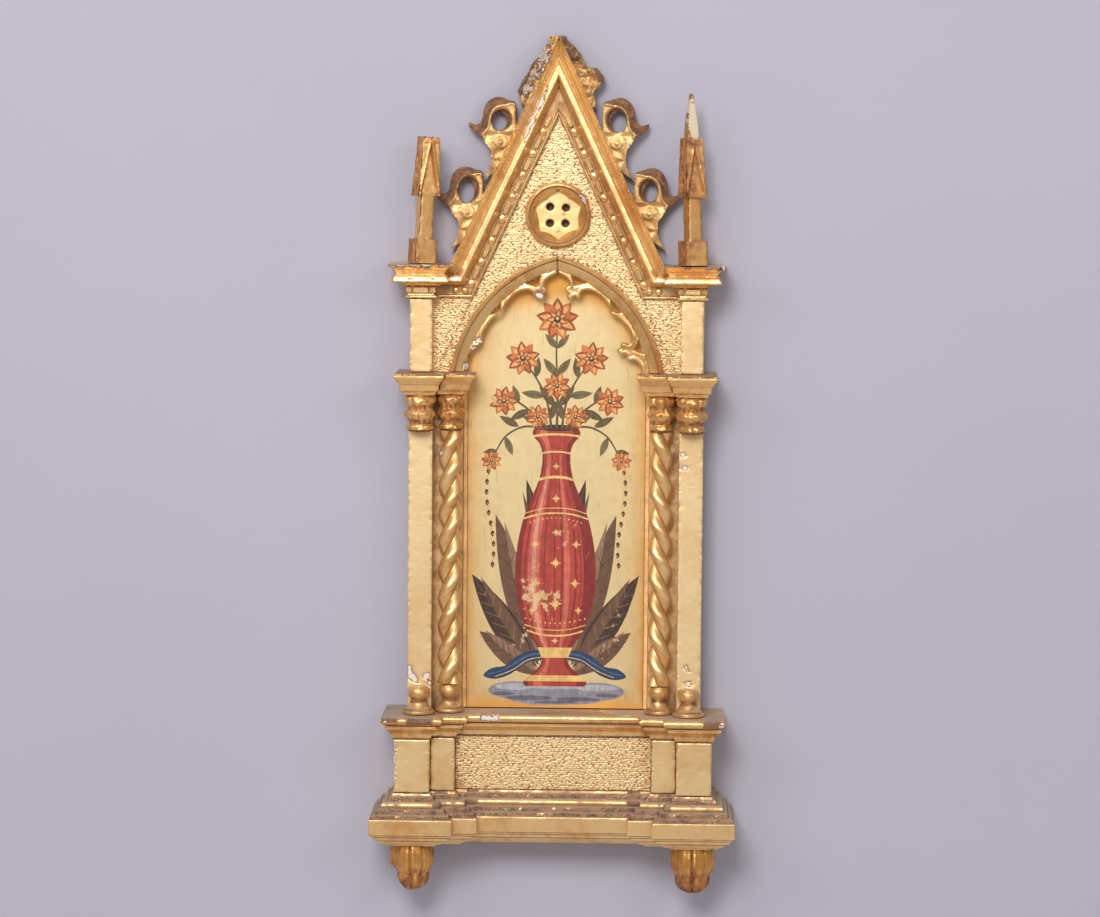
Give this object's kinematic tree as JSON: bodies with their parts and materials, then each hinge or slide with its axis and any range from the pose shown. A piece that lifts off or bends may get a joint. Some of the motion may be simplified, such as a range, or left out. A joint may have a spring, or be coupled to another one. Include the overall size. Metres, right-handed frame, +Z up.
{
  "type": "wall plaque",
  "caption": "Carved and gilt Gothic wall plaque: a gabled, pinnacled frame with twisted columns round a painted panel, hung flat on a wall.",
  "frame": {"origin": "where the flat back rests on the wall, on the middle line, 390 mm above the bottom of the feet", "axes": "+X to the viewer's right, +Y into the wall, +Z up"},
  "size_m": [0.212, 0.0563, 0.4969],
  "materials": {
    "back_board": "bare, darkened",
    "front_board": "stippled gesso, gilt, worn",
    "painted_panel": "gilt ground with tempera painting",
    "arch_left": "carved and gilt, worn",
    "arch_right": "carved and gilt, worn",
    "gable_moulding_left": "carved and gilt, broken at the top",
    "gable_moulding_right": "carved and gilt, worn",
    "cornice_left": "carved and gilt, worn",
    "cornice_right": "carved and gilt, worn",
    "crocket_left_upper": "carved and gilt, worn to brown",
    "crocket_left_lower": "carved and gilt, worn to brown",
    "crocket_right_upper": "carved and gilt, worn to brown",
    "crocket_right_lower": "carved and gilt, worn to brown",
    "crocket_stub_left": "broken wood with bits of gesso",
    "crocket_stub_right": "broken wood with bits of gesso",
    "roundel_ring": "turned, carved and gilt",
    "roundel_plate": "pale gilt",
    "pinnacle_left": "carved and gilt, spire lost",
    "pinnacle_right": "carved and gilt, worn",
    "upper_strip_left": "gilt, worn",
    "upper_strip_right": "gilt, worn",
    "capital_outer_left": "carved and gilt, worn",
    "capital_outer_right": "carved and gilt, worn",
    "capital_inner_left": "carved and gilt, worn",
    "capital_inner_right": "carved and gilt, worn",
    "pilaster_left": "gilt, chipped to the gesso",
    "pilaster_right": "gilt, chipped to the gesso",
    "twisted_column_left": "carved and gilt, worn",
    "twisted_column_right": "carved and gilt, worn",
    "base_outer_left": "turned and gilt",
    "base_outer_right": "turned and gilt",
    "base_inner_left": "turned and gilt",
    "base_inner_right": "turned and gilt",
    "sill": "gilt, dusty and chipped",
    "pedestal_outer_left": "gilt, worn at the edges",
    "pedestal_outer_right": "gilt, worn at the edges",
    "pedestal_inner_left": "gilt, worn at the edges",
    "pedestal_inner_right": "gilt, worn at the edges",
    "predella_panel": "stippled gesso, gilt",
    "plinth": "carved and gilt, dusty",
    "foot_left": "carved and gilt, chipped",
    "foot_right": "carved and gilt, worn"
  },
  "bodies": {
    "root": {"back_board": "back_board", "front_board": "front_board", "painted_panel": "painted_panel", "arch_left": "arch_left", "arch_right": "arch_right", "gable_moulding_left": "gable_moulding_left", "gable_moulding_right": "gable_moulding_right", "cornice_left": "cornice_left", "cornice_right": "cornice_right", "crocket_left_upper": "crocket_left_upper", "crocket_left_lower": "crocket_left_lower", "crocket_right_upper": "crocket_right_upper", "crocket_right_lower": "crocket_right_lower", "crocket_stub_left": "crocket_stub_left", "crocket_stub_right": "crocket_stub_right", "roundel_ring": "roundel_ring", "roundel_plate": "roundel_plate", "pinnacle_left": "pinnacle_left", "pinnacle_right": "pinnacle_right", "upper_strip_left": "upper_strip_left", "upper_strip_right": "upper_strip_right", "capital_outer_left": "capital_outer_left", "capital_outer_right": "capital_outer_right", "capital_inner_left": "capital_inner_left", "capital_inner_right": "capital_inner_right", "pilaster_left": "pilaster_left", "pilaster_right": "pilaster_right", "twisted_column_left": "twisted_column_left", "twisted_column_right": "twisted_column_right", "base_outer_left": "base_outer_left", "base_outer_right": "base_outer_right", "base_inner_left": "base_inner_left", "base_inner_right": "base_inner_right", "sill": "sill", "pedestal_outer_left": "pedestal_outer_left", "pedestal_outer_right": "pedestal_outer_right", "pedestal_inner_left": "pedestal_inner_left", "pedestal_inner_right": "pedestal_inner_right", "predella_panel": "predella_panel", "plinth": "plinth", "foot_left": "foot_left", "foot_right": "foot_right"}
  },
  "joints": []
}
